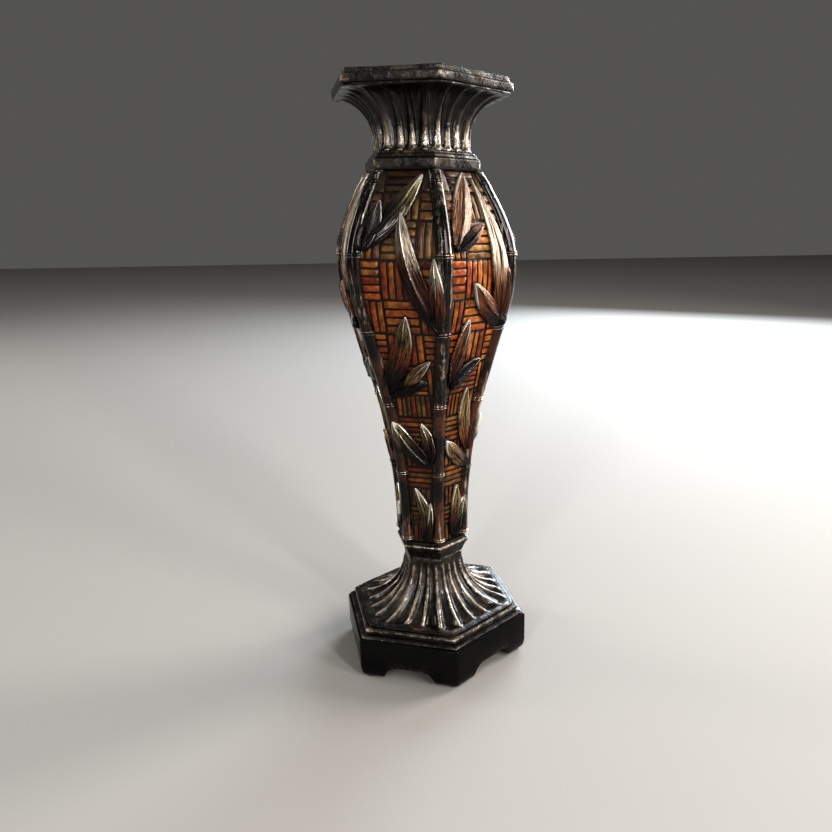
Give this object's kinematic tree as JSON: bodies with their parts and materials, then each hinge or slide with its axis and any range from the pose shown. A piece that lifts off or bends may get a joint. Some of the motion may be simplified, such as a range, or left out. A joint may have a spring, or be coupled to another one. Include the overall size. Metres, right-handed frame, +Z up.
{
  "type": "candlestick",
  "caption": "Tall hexagonal pillar candlestick: bamboo canes, woven panels and leaves on a slim bellied shaft, fluted neck and base, lift-out pan with a spike.",
  "frame": {"origin": "centre of the foot print, on the surface that the felt pads stand on", "axes": "+Z up along the tie rod; one corner of the hexagon points to -Y, a flat faces +X"},
  "size_m": [0.1416, 0.1636, 0.4656],
  "materials": {
    "antique_bronze": "satin",
    "cane_lacquer": "gloss",
    "woven_strips": "satin",
    "leaf_bronze": "gloss",
    "core_black": "matte",
    "black_gloss": "gloss",
    "pan_brass": "satin",
    "spike_steel": "satin",
    "rod_steel": "satin",
    "felt": "matte"
  },
  "bodies": {
    "holder": {"bamboo_cane_1": "cane_lacquer", "bamboo_cane_2": "cane_lacquer", "bamboo_cane_3": "cane_lacquer", "bamboo_cane_4": "cane_lacquer", "bamboo_cane_5": "cane_lacquer", "bamboo_cane_6": "cane_lacquer", "base_moulding": "antique_bronze", "bottom_nut": "rod_steel", "bottom_washer": "rod_steel", "felt_pad_1": "felt", "felt_pad_2": "felt", "felt_pad_3": "felt", "felt_pad_4": "felt", "felt_pad_5": "felt", "felt_pad_6": "felt", "fluted_base": "antique_bronze", "fluted_neck": "antique_bronze", "long_leaves_1": "leaf_bronze", "long_leaves_2": "leaf_bronze", "long_leaves_3": "leaf_bronze", "long_leaves_4": "leaf_bronze", "long_leaves_5": "leaf_bronze", "long_leaves_6": "leaf_bronze", "lower_collar": "antique_bronze", "lower_leaves_1": "leaf_bronze", "lower_leaves_2": "leaf_bronze", "lower_leaves_3": "leaf_bronze", "lower_leaves_4": "leaf_bronze", "lower_leaves_5": "leaf_bronze", "lower_leaves_6": "leaf_bronze", "middle_leaves_1": "leaf_bronze", "middle_leaves_2": "leaf_bronze", "middle_leaves_3": "leaf_bronze", "middle_leaves_4": "leaf_bronze", "middle_leaves_5": "leaf_bronze", "middle_leaves_6": "leaf_bronze", "plinth": "black_gloss", "shaft_core": "core_black", "tie_rod": "rod_steel", "top_nut": "rod_steel", "top_plate": "antique_bronze", "top_washer": "rod_steel", "upper_collar": "antique_bronze", "upper_leaves_1": "leaf_bronze", "upper_leaves_2": "leaf_bronze", "upper_leaves_3": "leaf_bronze", "upper_leaves_4": "leaf_bronze", "upper_leaves_5": "leaf_bronze", "upper_leaves_6": "leaf_bronze", "woven_panel_1": "woven_strips", "woven_panel_2": "woven_strips", "woven_panel_3": "woven_strips", "woven_panel_4": "woven_strips", "woven_panel_5": "woven_strips", "woven_panel_6": "woven_strips"},
    "pan": {"candle_pan": "pan_brass", "pricket_spike": "spike_steel"}
  },
  "joints": [
    {"name": "pan_lift", "type": "slide", "parent": "holder", "child": "pan", "axis": [0, 0, 1], "range_m": [0, 0.06]}
  ]
}
